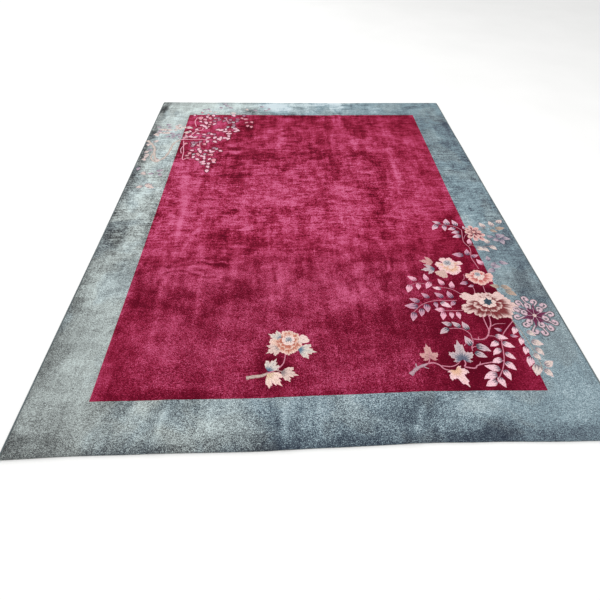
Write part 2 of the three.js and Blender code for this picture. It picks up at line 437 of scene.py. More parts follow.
class Shader:
    """A material under construction, with short ways to add and link its nodes."""

    def __init__(self, name):
        self.material = bpy.data.materials.new(name)
        self.material.use_nodes = True
        self.tree = self.material.node_tree
        self.place = self.add("ShaderNodeTexCoord").outputs["Object"]

    def fill(self, node, values):
        """Links or sets a node's inputs, from their names or numbers and what goes into them."""
        for name, value in values.items():
            if isinstance(value, bpy.types.NodeSocket):
                self.tree.links.new(value, node.inputs[name])
            else:
                node.inputs[name].default_value = value

    def add(self, kind, values=None, **settings):
        made = self.tree.nodes.new(kind)
        for setting, value in settings.items():
            setattr(made, setting, value)
        self.fill(made, values or {})
        return made

    def noise(self, scale, detail=2.0, roughness=0.5, distortion=0.0):
        """Noise about the middle value 0.5, in metres. Three scales stretch it along X, Y and Z."""
        place = self.place
        if isinstance(scale, tuple):
            place = self.add("ShaderNodeMapping", {"Vector": place, "Scale": scale}).outputs["Vector"]
            scale = 1.0
        values = {"Vector": place, "Scale": scale, "Detail": detail, "Roughness": roughness}
        return self.add("ShaderNodeTexNoise", {**values, "Distortion": distortion}).outputs["Fac"]

    def math(self, operation, *values):
        return self.add("ShaderNodeMath", dict(enumerate(values)), operation=operation).outputs["Value"]

    def total(self, start, *parts):
        """start plus each part's weight times how far its value is from 0.5."""
        so_far = start
        for value, weight in parts:
            so_far = self.math("MULTIPLY_ADD", self.math("SUBTRACT", value, 0.5), weight, so_far)
        return so_far

    def ramp(self, value, *stops):
        made = self.add("ShaderNodeValToRGB", {"Fac": value})
        elements = made.color_ramp.elements
        while len(elements) < len(stops):
            elements.new(0.5)
        for element, (position, colour) in zip(elements, stops):
            element.position = position
            element.color = (*linear(colour), 1.0)
        return made.outputs["Color"]

    def mix(self, factor, first, second, blend="MIX"):
        made = self.add("ShaderNodeMix", data_type="RGBA", blend_type=blend)
        self.fill(made, {0: factor, 6: first, 7: second})
        return made.outputs[2]

    def attribute(self, name, output="Fac"):
        return self.add("ShaderNodeAttribute", attribute_name=name).outputs[output]

    def spread(self, value, low, high, to_low, to_high):
        ends = {"From Min": low, "From Max": high, "To Min": to_low, "To Max": to_high}
        return self.add("ShaderNodeMapRange", {"Value": value, **ends}).outputs["Result"]

    def bump(self, height, distance, strength, under=None):
        """Raises a pattern by a distance in millimetres, over another bump if there is one."""
        values = {"Height": height, "Distance": distance * MM, "Strength": strength}
        if under is not None:
            values["Normal"] = under
        return self.add("ShaderNodeBump", values).outputs["Normal"]

    def finish(self, colour, roughness, normal=None, sheen=0.0, gloss=0.3):
        values = {"Base Color": colour, "Roughness": roughness, "Specular IOR Level": gloss}
        if normal is not None:
            values["Normal"] = normal
        values.update({"Sheen Weight": sheen, "Sheen Roughness": 0.4})
        self.fill(self.tree.nodes["Principled BSDF"], values)
        return self.material


def pile_material(name, stops, weights, cool_stops=None):
    """Lustrous cut pile: cloudy, with painted sheen and shade where it is laid over in areas, streaked along
    the rows of knots, and grainy.
    """
    shader = Shader(name)
    cloud = shader.noise((5.0, 3.0, 1.0), 5.0, 0.6, 0.4)
    folded = shader.noise((7.0, 13.0, 1.0), 6.0, 0.64, 0.5)
    # Painted sheen and shade: sharp-edged lighter and darker zones where the pile lies over
    painted_lay_sheen = shader.spread(folded, 0.46, 0.54, 0.0, 1.0)
    along = shader.noise((20.0, 3.5, 1.0), 5.0, 0.62, 0.3)
    across = shader.noise((9.0, 60.0, 1.0), 4.0, 0.62)
    grain = shader.noise(130.0, 1.0, 0.7)
    specks = shader.noise((340.0, 290.0, 300.0), 1.0, 0.8)
    ribs = shader.noise((80.0, 420.0, 300.0), 1.0, 0.7)
    brushed = shader.noise((26.0, 4.0, 1.0), 3.0, 0.55)
    cloud_weight, laid_weight, along_weight, across_weight = weights
    broad = shader.total(0.0, (cloud, cloud_weight), (painted_lay_sheen, laid_weight), (along, along_weight))
    coarse = shader.total(0.0, (grain, 1.0), (across, across_weight))
    fine = shader.total(0.0, (specks, 1.0), (ribs, 0.4), (brushed, 0.1))
    # The shade starts from the painted sheen and shade of the patches and the fold ridges
    shade = shader.math("ADD", shader.attribute("light"), 0.5)
    for part, share in ((broad, "restless"), (coarse, "coarse"), (fine, "fine")):
        shade = shader.math("MULTIPLY_ADD", part, shader.attribute(share), shade)
    colour = shader.ramp(shade, *stops)
    # Towards the right the border turns cooler and darker, without the painted sheen that lightens its left
    # side
    if cool_stops:
        patchy = shader.spread(shader.noise((3.6, 3.2, 1.0), 3.0, 0.5, 0.5), 0.42, 0.6, -0.25, 0.34)
        cool = shader.math("ADD", shader.attribute("cool"), patchy)
        colour = shader.mix(cool, colour, shader.ramp(shade, *cool_stops))
    normal = shader.bump(grain, 0.8, 0.5, under=shader.bump(across, 1.0, 0.3))
    roughness = shader.spread(shade, 0.0, 1.0, 0.85, 0.65)
    return shader.finish(colour, roughness, normal, gloss=0.02)


def motif_material(name):
    """The pile of the flowers, whose colours are set point by point."""
    shader = Shader(name)
    brushed = shader.noise((30.0, 80.0, 1.0), 3.0, 0.6)
    tufts = shader.noise(150.0, 3.0, 0.75)
    knots = shader.noise(320.0, 2.0, 0.6)
    flecks = shader.noise((150.0, 190.0, 150.0), 1.0, 0.5)
    shade = shader.total(0.52, (brushed, 0.5), (tufts, 1.5), (knots, 1.1))
    even = shader.spread(shade, 0.0, 1.0, 0.76, 1.28)
    strength = shader.math("MULTIPLY", even, shader.spread(flecks, 0.36, 0.48, 0.55, 1.0))
    grey = shader.add("ShaderNodeCombineColor", {0: strength, 1: strength, 2: strength})
    colour = shader.mix(1.0, shader.attribute("tint", "Color"), grey.outputs["Color"], "MULTIPLY")
    normal = shader.bump(knots, 0.8, 0.6, under=shader.bump(tufts, 1.6, 0.3))
    return shader.finish(colour, 0.7, normal, sheen=0.05, gloss=0.18)


def back_material(name, dark, light):
    """The back of the knots: rows of small ribs across the rug."""
    shader = Shader(name)
    cloud = shader.noise(6.0, 4.0)
    weft = shader.noise((60.0, 320.0, 1.0))
    knots = shader.noise((300.0, 300.0, 1.0), 1.0)
    shade = shader.total(0.5, (cloud, 0.8), (weft, 0.9), (knots, 0.9))
    normal = shader.bump(knots, 1.0, 0.6, under=shader.bump(weft, 1.2, 0.6))
    return shader.finish(shader.ramp(shade, (0.15, dark), (0.85, light)), 0.9, normal)


def cord_material():
    shader = Shader("overcast_yarn")
    yarn = shader.noise((500.0, 120.0, 500.0), 3.0)
    worn = shader.noise(7.0, 4.0, 0.6)
    shade = shader.total(0.5, (yarn, 0.8), (worn, 0.9))
    colour = shader.ramp(shade, (0.1, (58, 66, 70)), (0.6, (104, 114, 116)), (1.0, (148, 155, 155)))
    return shader.finish(colour, 0.88, shader.bump(yarn, 0.5, 0.5), sheen=0.1)


def floor_material():
    shader = Shader("pale_floor")
    colour = shader.ramp(shader.noise(1.5), (0.3, (247, 247, 246)), (0.7, (250, 250, 249)))
    return shader.finish(colour, 0.95, gloss=0.05)


# The pile's colours, from where it lies darkest to where it lies lightest
CRIMSON_STOPS = (
    (0.0, (84, 8, 28)), (0.25, (115, 13, 39)), (0.5, (153, 39, 69)), (0.75, (183, 67, 107)),
    (1.0, (206, 104, 142)),
)
TEAL_STOPS = (
    (0.0, (58, 60, 62)), (0.25, (101, 105, 104)), (0.5, (147, 154, 153)), (0.75, (174, 183, 181)),
    (1.0, (204, 218, 216)),
)
# The border's cooler, darker colours to the right; its lighter, greyer left is painted sheen
COOL_STOPS = (
    (0.0, (46, 54, 66)), (0.25, (86, 95, 106)), (0.5, (120, 140, 148)), (0.75, (150, 171, 179)),
    (1.0, (200, 214, 220)),
)
crimson = pile_material("pile_crimson", CRIMSON_STOPS, (0.85, 0.18, 0.85, 0.75))
teal = pile_material("pile_teal", TEAL_STOPS, (0.6, 0.14, 0.6, 0.7), COOL_STOPS)
motif = motif_material("pile_flowers")
back_crimson = back_material("back_crimson", (96, 20, 40), (168, 70, 98))
back_teal = back_material("back_teal", (70, 78, 80), (150, 156, 152))
overcast = cord_material()


# The knotted flowers

# Colours as they look in the studio light: at the base, in the middle and at the rim
WOOD = ((140, 106, 122), (202, 166, 178), (202, 166, 178))
STEM = ((192, 112, 138), (218, 142, 162), (222, 152, 172))
VINE = ((92, 78, 78), (230, 214, 204), (230, 214, 204))
STEM_PALE = ((176, 150, 150), (206, 168, 166), (206, 172, 170))
PINK = ((104, 84, 104), (250, 208, 218), (255, 190, 208))
ROSE = ((160, 84, 112), (242, 180, 200), (252, 180, 204))
MAUVE = ((76, 56, 84), (206, 154, 176), (236, 166, 190))
SLATE = ((44, 58, 76), (210, 184, 192), (238, 188, 202))
SLATE_ROSE = ((48, 56, 78), (228, 186, 202), (255, 204, 224))
CREAM = ((142, 130, 140), (232, 212, 204), (234, 206, 208))
TAN = ((132, 128, 124), (190, 166, 150), (206, 176, 162))
LILAC = ((108, 98, 122), (184, 168, 180), (198, 176, 188))
BLUSH_LEAF = ((196, 140, 140), (214, 162, 158), (236, 168, 176))
BLUE_LEAF = ((100, 106, 126), (206, 186, 190), (230, 192, 200))
BEIGE_PETAL = ((150, 120, 120), (222, 186, 176), (226, 178, 176))
GOLD_LEAF = ((236, 188, 158), (252, 212, 214), (255, 204, 216))
SKY_LEAF = ((84, 116, 142), (228, 214, 204), (244, 212, 204))
ASH_LEAF = ((146, 130, 132), (236, 206, 196), (248, 206, 204))
HONEY_LEAF = ((230, 196, 164), (250, 218, 206), (255, 206, 206))
TWIG = ((150, 120, 114), (212, 188, 178), (212, 188, 178))
DEEP_PETAL = ((128, 46, 50), (240, 206, 200), (244, 192, 194))
PALE_PETAL = ((170, 144, 140), (244, 216, 208), (246, 202, 202))
PEACH_PETAL = ((236, 186, 158), (248, 212, 208), (255, 186, 206))
SALMON_PETAL = ((204, 108, 104), (244, 192, 182), (255, 204, 204))
BLUSH_PETAL = ((196, 112, 92), (244, 206, 190), (252, 214, 206))
RED_PETAL = ((118, 30, 50), (232, 176, 172), (252, 220, 212))
DARK_CENTRE = ((40, 58, 74), (56, 78, 92), (76, 96, 106))
PALE_CENTRE = ((150, 146, 158), (192, 186, 190), (214, 202, 202))
BLOSSOM = ((246, 172, 196), (255, 200, 216), (244, 168, 190))
DEEP_BLOSSOM = ((214, 122, 146), (244, 158, 174), (222, 136, 154))
DUSK_BLOSSOM = ((150, 88, 118), (190, 124, 150), (174, 108, 134))
BURGUNDY = ((100, 22, 56), (112, 38, 76), (142, 100, 124))
HOOK = ((176, 146, 158), (230, 200, 210), (230, 200, 210))
HOOK_END = ((236, 206, 214), (220, 186, 198), (150, 126, 138))
# A dark outline, partly painted shadow, round each curled petal of the chrysanthemum
HOOK_OUTLINE_SHADOW = ((98, 104, 108), (104, 104, 110), (104, 104, 110))
TENDRIL = ((232, 132, 164), (255, 188, 208), (255, 188, 208))
# Painted shade: the darker patches under shaded leaves, on the field and on the border
FIELD_SHADE = ((96, 16, 42), (104, 20, 48), (112, 22, 52))
BORDER_SHADE = ((118, 120, 124), (130, 134, 136), (150, 154, 156))

LIGHT_GAIN = 1.16  # how much lighter the studio light shows a surface
RAISED = 1.0  # millimetres above the pile around it
SUNK = 1.4  # millimetres down into it, along the edge of a motif
PETAL_STEP = 0.1  # millimetres from one petal's top to the next one's

# The darker patch under a shaded leaf, a dark outline that is partly painted shade: how far back it starts,
# how much longer and wider than the leaf it is, and how far below the leaf it lies
SHADE_BACK = 9
SHADE_LONGER = 20
SHADE_WIDER = 1.2
SHADE_LAYER = -0.6

# The lobes of a leaf: lean from its axis in degrees, share of its size, half width in degrees
VINE_LOBES = ((0, 1.0, 27), (56, 0.66, 34), (-56, 0.66, 34), (104, 0.42, 26), (-104, 0.42, 26))
TREFOIL_LOBES = ((0, 1.0, 24), (38, 0.8, 22), (-40, 0.84, 22))
POINTED_LOBES = ((0, 1.0, 27), (33, 0.86, 25), (-35, 0.88, 25))


def shown(palette):
    """Linear surface colours that look like the palette under the studio light."""
    return [linear(colour) / LIGHT_GAIN for colour in palette]


def blend(first, second, share):
    """Goes from the first colour to the second by a grid of shares."""
    return first + (second - first) * share[..., None]


class Spray:
    """Collects the knotted patches of one spray, and makes one piece of them. Places, lengths, widths
    and layers are in millimetres, and headings, bends and spreads in degrees."""

    def __init__(self, name, seed):
        self.name = name
        self.chance = np.random.default_rng(seed)
        self.points = []
        self.faces = []
        self.tints = []
        self.count = 0

    def patch(self, x, y, rounded, layer, tint):
        """Adds a grid of points on the pile, raised where rounded is 1 and sunk into it where it is 0."""
        x = x * MM
        y = y * MM
        z = pile_top(x, y) + (-SUNK + (RAISED + SUNK) * rounded + layer) * MM
        self.points.append(as_points(x, y, z))
        self.faces.append(grid_faces(*x.shape) + self.count)
        self.tints.append(np.broadcast_to(tint, (*x.shape, 3)).reshape(-1, 3))
        self.count += x.size

    def leaf(self, x, y, heading, length, palette, breadth=0.6, bend=0.0, layer=0.0, stroke=0.36):
        """A pointed leaf from its stalk's end at x, y. stroke is how far its dark strokes reach."""
        share = np.linspace(0.0, 1.0, 14)[:, None]
        side = np.linspace(-1.0, 1.0, 13)[None, :]
        widest = 0.38
        rise = np.sqrt(1.0 - (1.0 - np.minimum(share / widest, 1.0)) ** 2)
        fall = np.cos(np.clip((share - widest) / (1.0 - widest), 0.0, 1.0) * math.pi / 2) ** 1.3
        turn = math.radians(heading) + math.radians(bend) * (share - 0.4)
        profile = rise * fall * (1.0 + 0.07 * np.sin(share * 17.0 + heading) * side)
        half = length * breadth / 2 * profile
        leaf_x = x + length * share * np.cos(turn) - half * side * np.sin(turn)
        leaf_y = y + length * share * np.sin(turn) + half * side * np.cos(turn)
        rounded = (1.0 - np.abs(side) ** 6) * (1.0 - np.abs(2 * share - 1.0) ** 10)
        base, middle, tip = shown(palette)
        strokes = np.abs(np.sin(side * 5.5 + 0.6)) ** 2
        tongue = (0.10 + stroke * strokes) * (1.0 - 0.4 * side**2)
        rim = eased((np.abs(side) - 0.55) / 0.3) * eased((share - 0.2) / 0.3)
        to_rim = np.maximum(rim, eased((share - 0.68) / 0.22))
        tint = blend(base, middle, eased((share - tongue) / 0.2 + 0.4))
        self.patch(leaf_x, leaf_y, rounded, layer, blend(tint, tip, 0.85 * to_rim))

    def leaves(self, palette, rows, breadth=0.6, shaded=False, stroke=0.36):
        """Leaves from rows of x, y, heading and length. Shaded ones lie on a slightly larger patch of
        darker pile, a dark outline that is partly painted shade round the leaf."""
        for x, y, heading, length in rows:
            bend = self.chance.uniform(-30.0, 30.0)
            wide = breadth * self.chance.uniform(0.92, 1.08)
            if shaded:
                # The darker patch under the leaf is a dark outline, partly painted shade round it
                on_field = x * MM > FIELD_LEFT + 0.02 and y * MM < FIELD_FAR
                shade = FIELD_SHADE if on_field else BORDER_SHADE
                turn = math.radians(heading)
                back = (x - SHADE_BACK * math.cos(turn), y - SHADE_BACK * math.sin(turn))
                size = (heading, length + SHADE_LONGER)
                self.leaf(*back, *size, shade, wide * SHADE_WIDER, bend, SHADE_LAYER)
            self.leaf(x, y, heading, length, palette, wide, bend, stroke=stroke)

    def petal(self, x, y, row, palette, layer, frill, rim_from, edge):
        """A petal that fans out from a centre to a frilled rim."""
        heading, length, spread, lobes, dark = row
        share = np.concatenate([[0.0, 0.08], np.linspace(0.18, 0.88, 9), [0.93, 0.96, 0.98, 1.0]])[:, None]
        side = np.linspace(-1.0, 1.0, 8 * lobes + 17)[None, :]
        notches = np.linspace(-1.0, 1.0, lobes + 1)
        notches[1:-1] += self.chance.uniform(-0.3, 0.3, lobes - 1) / lobes
        after = np.clip(np.searchsorted(notches, side), 1, lobes)
        within = 2 * (side - notches[after - 1]) / (notches[after] - notches[after - 1]) - 1.0
        bump = np.sqrt(1.0 - np.clip(within, -1.0, 1.0) ** 2) ** 0.8
        lobe_reach = 1.0 - frill * 0.6 * self.chance.uniform(0.0, 1.0, lobes + 1)[after]
        reach = length * lobe_reach * (1.0 - frill * (1.0 - bump)) * (1.0 - 0.2 * np.abs(side) ** 3)
        half = math.radians(spread) * (0.62 + 0.38 * np.sin(np.clip(share, 0.0, 0.8) * math.pi / 1.6))
        angle = math.radians(heading) + side * half
        petal_x = x + reach * share * np.cos(angle)
        petal_y = y + reach * share * np.sin(angle)
        base, middle, rim = shown(palette)
        streaks = 0.5 + 0.5 * np.sin(side * (4.0 + 1.6 * lobes) + heading)
        tongue = dark / 100 * (0.92 + 0.12 * streaks) * (1.0 - 0.25 * side**2)
        at_sides = eased((np.abs(side) - 0.84 * rim_from) / 0.16)
        outline = np.maximum(eased((share - 0.94) / 0.02), eased((np.abs(side) - 0.93) / 0.04))
        tint = blend(base, middle, eased((share - tongue) / 0.24 + 0.5))
        tint = blend(tint, rim, np.maximum(eased((share - rim_from) / 0.08), at_sides))
        tint = blend(tint, edge * base + (1.0 - edge) * rim, outline)
        rounded = (1.0 - np.abs(side) ** 10) * (1.0 - share**10)
        self.patch(petal_x, petal_y, rounded, layer, tint)

    def petals(self, x, y, palette, rows, layer=0.0, frill=0.13, rim_from=0.84, edge=0.7):
        """Petals round a centre, from rows of heading, length, half spread, lobes and the per cent of
        the length that keeps the first colour. frill is how deep the rims are notched, rim_from is the
        share where the last colour starts, and edge is how much of the first the outlines take."""
        for index, row in enumerate(rows):
            self.petal(x, y, row, palette, layer + PETAL_STEP * (index % 4), frill, rim_from, edge)

    def disc(self, x, y, radius, palette, layer=0.0, points=0, depth=0.0):
        """A round or star-shaped centre."""
        share = np.linspace(0.0, 1.0, 7)[:, None]
        angle = np.linspace(0.0, 2 * math.pi, 41)[None, :]
        edge = radius * (1.0 - depth * (0.5 + 0.5 * np.cos(angle * points)))
        base, middle, rim = shown(palette)
        tint = blend(blend(base, middle, eased(share / 0.5)), rim, eased((share - 0.6) / 0.4))
        disc_x = x + edge * share * np.cos(angle)
        self.patch(disc_x, y + edge * share * np.sin(angle), 1.0 - share**6, layer, tint)

    def dotted_disc(self, x, y, radius):
        """A pale centre with a ring of dark stamens."""
        self.disc(x, y, radius, PALE_CENTRE, layer=1.2)
        for index in range(8):
            angle = 2 * math.pi * index / 8
            reach = radius * (0.52 if index % 2 else 0.25)
            dot = (x + reach * math.cos(angle), y + reach * math.sin(angle))
            self.disc(*dot, radius * 0.13, DARK_CENTRE, layer=1.5)

    def curve(self, path, per_span):
        """Points and directions along a smooth curve through the path's points."""
        knots = np.array(path, dtype=float)
        knots = np.vstack([2 * knots[0] - knots[1], knots, 2 * knots[-1] - knots[-2]])
        made = []
        for index in range(1, len(knots) - 2):
            before, start, stop, after = knots[index - 1 : index + 3]
            for t in np.arange(per_span) / per_span:
                straight = 2 * start + (stop - before) * t
                bent = (2 * before - 5 * start + 4 * stop - after) * t**2
                twisted = (3 * start - before - 3 * stop + after) * t**3
                made.append((straight + bent + twisted) / 2)
        made = np.array([*made, knots[-2]])
        directions = np.gradient(made, axis=0)
        return made, directions / np.linalg.norm(directions, axis=1)[:, None]

    def stem(self, path, start_width, stop_width, palette, layer=-0.2, per_span=8, knobs=0.0):
        """A ribbon along a curve, rounded over its top. per_span is how many steps go from one of the
        path's places to the next, and knobs is how much the width swells and shrinks."""
        middle, directions = self.curve(path, per_span)
        share = np.linspace(0.0, 1.0, len(middle))[:, None]
        side = np.array([-1.0, -0.75, -0.3, 0.3, 0.75, 1.0])[None, :]
        half = (start_width + (stop_width - start_width) * share) / 2
        half = half * (1.0 + knobs * np.sin(share * 9.0 * (len(path) - 1)))
        stem_x = middle[:, :1] - half * side * directions[:, 1:]
        stem_y = middle[:, 1:] + half * side * directions[:, :1]
        base, centre, _rim = shown(palette)
        tint = blend(base, centre, 1.0 - np.abs(side) ** 1.5)
        self.patch(stem_x, stem_y, 1.0 - np.abs(side) ** 4, layer, tint)

    def stems(self, palette, rows, **shape):
        """Stems from rows of the first and the last width, and x and y of each place on the way."""
        for start_width, stop_width, *places in rows:
            self.stem(list(zip(places[::2], places[1::2])), start_width, stop_width, palette, **shape)

    def lobed_leaf(self, x, y, heading, size, lobes, palette, notch=0.09):
        """A leaf of pointed lobes with small teeth and veins, from its stalk's end at x, y."""
        share = np.concatenate([[0.0], np.linspace(0.12, 0.88, 9), [0.95, 1.0]])[:, None]
        widest = max(abs(lean) for lean, _length, _half in lobes) + 26.0
        lean = np.linspace(-widest, widest, 111)[None, :]
        reach = 0.5 * np.cos(np.radians(lean) * 0.6)
        vein = np.zeros(lean.shape)
        for lobe, length, half in lobes:
            from_lobe = np.clip(np.abs(lean - lobe) / half, 0.0, 1.0)
            point = 0.12 * np.clip(1.0 - from_lobe / 0.25, 0.0, 1.0)
            reach = np.maximum(reach, length * (np.cos(from_lobe * math.pi / 2) ** 0.4 * 0.9 + point))
            vein = np.maximum(vein, np.exp(-(((lean - lobe) / 7.0) ** 2)))
        reach = reach * (1.0 - notch * np.abs(np.sin(np.radians(lean) * 14.0)))
        angle = math.radians(heading) + np.radians(lean)
        distance = size * reach * share
        base, middle, rim = shown(palette)
        strokes = np.abs(np.sin(np.radians(lean) * 9.0))
        tint = blend(base, middle, eased((share * reach - 0.05 - 0.14 * strokes) / 0.2))
        tint = blend(tint, rim, eased((share - 0.72) / 0.22))
        tint = blend(tint, base, 0.45 * vein * (1.0 - share))
        rounded = (1.0 - np.abs(lean / widest) ** 30) * (1.0 - share**8)
        self.patch(x + distance * np.cos(angle), y + distance * np.sin(angle), rounded, 0.0, tint)

    def made(self):
        piece = new_piece(self.name, np.concatenate(self.points), np.concatenate(self.faces), [motif])
        tints = np.clip(np.concatenate(self.tints), 0.0, 1.0)
        tints = np.concatenate([tints, np.ones((len(tints), 1))], axis=1)
        layer = piece.data.attributes.new("tint", "FLOAT_COLOR", "POINT")
        layer.data.foreach_set("color", tints.astype(np.float32).ravel())
        return piece


def near_right_leaves():
    spray = Spray("near_right_leaves", 21)
    spray.stems(WOOD, (
        (30, 17, 434, -1457, 475, -1420, 528, -1397),
    ), knobs=0.14)
    spray.stems(WOOD, (
        (13, 8, 475, -1420, 472, -1405, 473, -1392), (9, 5, 510, -1412, 520, -1420, 532, -1424),
    ), per_span=3)
    spray.stems(STEM, (
        (12, 8, 520, -1398, 560, -1391, 590, -1405, 610, -1430, 660, -1447),
        (8, 6, 597, -1410, 650, -1416, 690, -1396, 712, -1365), (8, 11, 722, -1375, 724, -1400, 712, -1420),
        (11, 8, 712, -1421, 762, -1430, 782, -1414, 830, -1402, 925, -1390),
        (9, 12, 810, -1245, 840, -1251, 872, -1246, 898, -1222, 918, -1180),
        (11, 8, 918, -1182, 936, -1150, 945, -1105, 946, -1070), (9, 7, 914, -1190, 911, -1135, 912, -1080),
        (6, 4, 938, -1160, 968, -1146, 1020, -1145), (6, 7, 893, -1226, 930, -1233, 953, -1262),
        (7, 7, 1065, -1130, 1020, -1175, 980, -1220, 955, -1270, 942, -1330,
         925, -1390, 900, -1440, 868, -1485, 850, -1508),
        (7, 6, 805, -1245, 803, -1210, 775, -1178, 740, -1170, 700, -1171),
        (7, 6, 805, -1245, 802, -1270, 786, -1300, 784, -1325),
        (6, 5, 800, -964, 720, -961, 655, -965, 590, -992, 532, -1048),
        (6, 5, 820, -1040, 760, -1042, 705, -1040), (6, 5, 845, -920, 800, -876, 755, -858, 700, -852),
        (5, 4, 700, -852, 655, -826, 600, -814, 560, -830), (5, 4, 905, -745, 895, -785, 880, -800),
        (5, 5, 925, -850, 928, -880, 920, -920), (6, 6, 990, -850, 988, -880, 985, -920),
        (6, 7, 1012, -700, 1003, -640, 997, -590, 1012, -530, 1014, -490,
         995, -440, 999, -390, 1012, -330, 1016, -305), (5, 5, 1005, -400, 1025, -365, 1055, -345),
        (7, 5, 1016, -305, 985, -270, 940, -250, 870, -238),
    ))
    spray.stems(STEM, (
        (7, 4, 785, -1413, 797, -1403, 801, -1392), (7, 4, 838, -1250, 840, -1240, 845, -1231),
    ), per_span=3)
    spray.stems(STEM, (
        (8, 5, 538, -1394, 550, -1362, 556, -1320),
    ), layer=0.3)
    spray.stems(STEM, (
        (6, 5, 786, -1306, 800, -1297, 820, -1296), (6, 5, 748, -1290, 762, -1276, 785, -1272),
    ), per_span=4)
    spray.stems(STEM_PALE, (
        (4, 4, 1020, -475, 1035, -465, 1060, -480, 1150, -485),
    ))
    spray.stems(TAN, (
        (5, 5, 1065, -1120, 1085, -1200, 1098, -1300, 1104, -1400, 1100, -1450),
        (4, 4, 1050, -862, 1100, -866, 1115, -900), (4, 4, 1150, -300, 1210, -282, 1270, -262),
    ))
    spray.stems(LILAC, (
        (4, 4, 1160, -370, 1220, -395, 1280, -390), (4, 4, 1060, -700, 1100, -650, 1160, -640),
    ))
    spray.leaves(PINK, (
        (957, -1268, -45, 72), (950, -1335, -58, 66), (931, -1394, -60, 70), (906, -1442, -76, 70),
        (873, -1483, -98, 68), (934, -1262, -135, 64), (938, -1322, 194, 68), (920, -1386, 182, 66),
        (892, -1436, 175, 84), (866, -1474, 180, 84), (850, -1503, 208, 76), (930, -1228, -16, 74),
        (738, -862, 180, 56), (706, -968, -52, 74), (1066, -1168, -116, 64), (1078, -1245, -128, 60),
        (1078, -1305, -126, 62), (1073, -1368, -118, 74),
    ), stroke=0.24)
    spray.leaves(ROSE, (
        (805, -868, 93, 68), (755, -840, 104, 66), (678, -795, 120, 66), (598, -800, 118, 66),
        (562, -826, -117, 76), (617, -816, -118, 62), (688, -806, -130, 74), (714, -1041, 162, 62),
        (707, -1048, -117, 68), (747, -1050, -104, 54), (789, -1050, -112, 60), (1034, -464, 98, 68),
        (1054, -664, 124, 66),
    ), stroke=0.24)
    spray.leaves(CREAM, (
        (1088, -1418, -117, 78), (1112, -1318, -40, 60), (1094, -1348, -60, 52), (1118, -1424, 14, 64),
        (1108, -1446, -54, 60), (1115, -1198, -42, 58), (1115, -1263, -38, 68), (1178, -286, 96, 66),
        (1238, -272, 84, 66), (1290, -240, 58, 62), (1160, -456, 112, 56), (1158, -470, -64, 62),
        (1062, -488, -40, 60), (1106, -488, -72, 60),
    ), breadth=0.72)
    spray.leaves(SLATE_ROSE, (
        (985, -264, 79, 76), (936, -252, 93, 80), (998, -376, 174, 68), (890, -240, 138, 66),
        (980, -280, 206, 64), (920, -252, -122, 68), (870, -244, 220, 82), (998, -330, 180, 64),
        (1048, -300, 120, 42),
    ))
    spray.leaves(SLATE, (
        (801, -1186, 103, 68), (764, -1168, 124, 62), (724, -1150, 152, 62), (702, -1171, 202, 72),
        (787, -1294, 101, 76), (806, -1296, -10, 84), (792, -1328, -40, 70),
    ))
    spray.leaves(MAUVE, (
        (784, -946, 116, 68), (724, -944, 118, 64), (644, -944, 122, 62), (584, -974, 140, 68),
        (572, -1004, 173, 84), (680, -970, -110, 54), (624, -984, -104, 70), (584, -1016, -97, 68),
        (541, -1044, -112, 76), (792, -972, -148, 52), (910, -820, 184, 58), (934, -836, -138, 42),
        (958, -566, 176, 80), (982, -574, 86, 70), (1000, -594, 40, 60), (1016, -1222, -34, 46),
        (984, -1198, 146, 46),
    ))
    spray.leaves(LILAC, (
        (1200, -402, 120, 48), (1240, -412, 196, 50), (1225, -384, 18, 72), (1262, -398, -8, 60),
        (1244, -412, -66, 60), (1100, -630, 90, 54), (1156, -646, 2, 62), (1102, -665, -30, 62),
        (1114, -712, 184, 62), (1140, -655, 196, 50),
    ), breadth=0.72)
    spray.leaves(TAN, (
        (1248, -290, -8, 76), (1215, -302, -50, 56), (1090, -852, 184, 62), (1092, -858, -8, 70),
        (1108, -890, -34, 76),
    ), breadth=0.62)
    spray.lobed_leaf(552, -1364, 91, 106, VINE_LOBES, BLUSH_LEAF, notch=0.13)
    spray.lobed_leaf(716, -1376, 88, 140, VINE_LOBES, BLUE_LEAF, notch=0.13)
    spray.lobed_leaf(662, -1440, -66, 120, VINE_LOBES, GOLD_LEAF, notch=0.12)
    spray.lobed_leaf(742, -632, 168, 96, TREFOIL_LOBES, BLUSH_LEAF)
    spray.lobed_leaf(738, -690, 186, 98, TREFOIL_LOBES, BLUE_LEAF)
    return spray.made()


